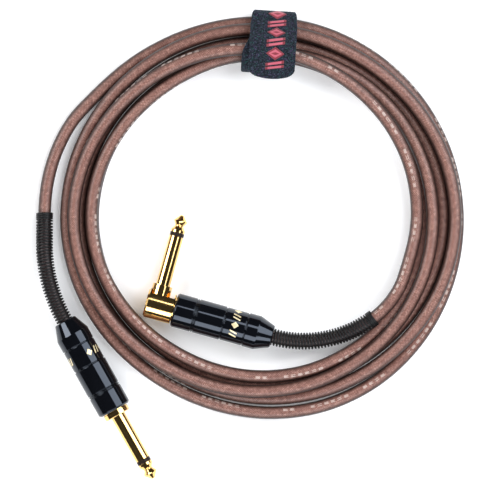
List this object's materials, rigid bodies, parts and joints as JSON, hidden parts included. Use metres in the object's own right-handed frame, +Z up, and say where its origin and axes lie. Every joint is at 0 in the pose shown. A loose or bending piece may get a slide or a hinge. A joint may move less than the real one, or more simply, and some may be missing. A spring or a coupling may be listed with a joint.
{
  "type": "instrument cable",
  "caption": "Coiled audio cable with a straight and a right-angle 6.35 mm two-pole plug, screw-on shells, spring strain reliefs and a hook-and-loop strap.",
  "frame": {"origin": "middle of the coiled cable's footprint, on the table under it", "axes": "+Z up from the table, +Y towards the strap side of the coil, +X to the right with the straight plug at the lower left"},
  "size_m": [0.1888, 0.2066, 0.0223],
  "materials": {
    "jacket": "clear brown jacket over a copper braid",
    "braid": "fine copper braid",
    "conductive_pvc": "carbon-filled",
    "core_insulation": "smooth",
    "copper": "stranded",
    "gold": "polished gold plate",
    "black_shell": "gloss black",
    "spring_steel": "satin black",
    "insulator": "moulded",
    "white_insulator": "moulded",
    "solder": "bright",
    "strap_fabric": "loop pile with a red woven motif",
    "strap_hook": "nylon hooks"
  },
  "bodies": {
    "coil": {"coil_jacket": "jacket", "coil_shield": "braid", "coil_conductive_layer": "conductive_pvc", "coil_insulation": "core_insulation", "coil_conductor": "copper", "strap_band": "strap_fabric"},
    "straight_plug": {"straight_tip": "gold", "straight_tip_ring": "insulator", "straight_rod_insulator": "white_insulator", "straight_sleeve": "gold", "straight_rear_insulator": "white_insulator", "straight_tip_lug": "gold", "straight_ground_clamp": "gold", "straight_tip_solder": "solder", "straight_shield_tail": "braid", "straight_spring": "spring_steel", "straight_lead_jacket": "jacket", "straight_lead_shield": "braid", "straight_lead_conductive_layer": "conductive_pvc", "straight_lead_insulation": "core_insulation", "straight_lead_conductor": "copper"},
    "straight_liner_slide": {"straight_liner": "white_insulator"},
    "straight_shell_turn": {"straight_shell": "black_shell"},
    "angle_plug": {"angle_tip": "gold", "angle_tip_ring": "insulator", "angle_rod_insulator": "white_insulator", "angle_sleeve": "gold", "angle_elbow": "gold", "angle_rear_insulator": "white_insulator", "angle_tip_lug": "gold", "angle_ground_clamp": "gold", "angle_tip_solder": "solder", "angle_shield_tail": "braid", "angle_spring": "spring_steel", "angle_lead_jacket": "jacket", "angle_lead_shield": "braid", "angle_lead_conductive_layer": "conductive_pvc", "angle_lead_insulation": "core_insulation", "angle_lead_conductor": "copper"},
    "angle_liner_slide": {"angle_liner": "white_insulator"},
    "angle_shell_turn": {"angle_shell": "black_shell"},
    "strap_flap": {"strap_tail": "strap_fabric", "strap_hook_patch": "strap_hook"}
  },
  "joints": [
    {"name": "straight_flex", "type": "hinge", "parent": "coil", "child": "straight_plug", "pos_m": [-0.08969, -0.01064, 0.00755], "axis": [0, 0, -1], "range_deg": [-4, 40], "deforming": ["straight_spring"]},
    {"name": "straight_shell_travel", "type": "slide", "parent": "straight_plug", "child": "straight_liner_slide", "axis": [-0.4909, 0.8712, 0], "range_m": [0, 0.0045]},
    {"name": "straight_shell_unscrew", "type": "hinge", "parent": "straight_liner_slide", "child": "straight_shell_turn", "pos_m": [-0.0582, -0.0752, 0.00755], "axis": [-0.4909, 0.8712, 0], "range_deg": [0, 2160]},
    {"name": "angle_flex", "type": "hinge", "parent": "coil", "child": "angle_plug", "pos_m": [0.03376, -0.04154, 0.00755], "axis": [0, 0, -1], "range_deg": [0, 30], "deforming": ["angle_spring"]},
    {"name": "angle_shell_travel", "type": "slide", "parent": "angle_plug", "child": "angle_liner_slide", "axis": [0.9636, -0.2672, 0], "range_m": [0, 0.0045]},
    {"name": "angle_shell_unscrew", "type": "hinge", "parent": "angle_liner_slide", "child": "angle_shell_turn", "pos_m": [-0.0408, -0.0267, 0.00755], "axis": [0.9636, -0.2672, 0], "range_deg": [0, 2160]},
    {"name": "strap_open", "type": "hinge", "parent": "coil", "child": "strap_flap", "pos_m": [0.01078, 0.10198, 0.0096], "axis": [-0.9981, 0.061, 0], "range_deg": [0, 120]}
  ],
  "couplings": [
    {"joint": "straight_shell_unscrew", "follows": "straight_shell_travel", "rad_per_m": 8377.6},
    {"joint": "angle_shell_unscrew", "follows": "angle_shell_travel", "rad_per_m": 8377.6}
  ]
}
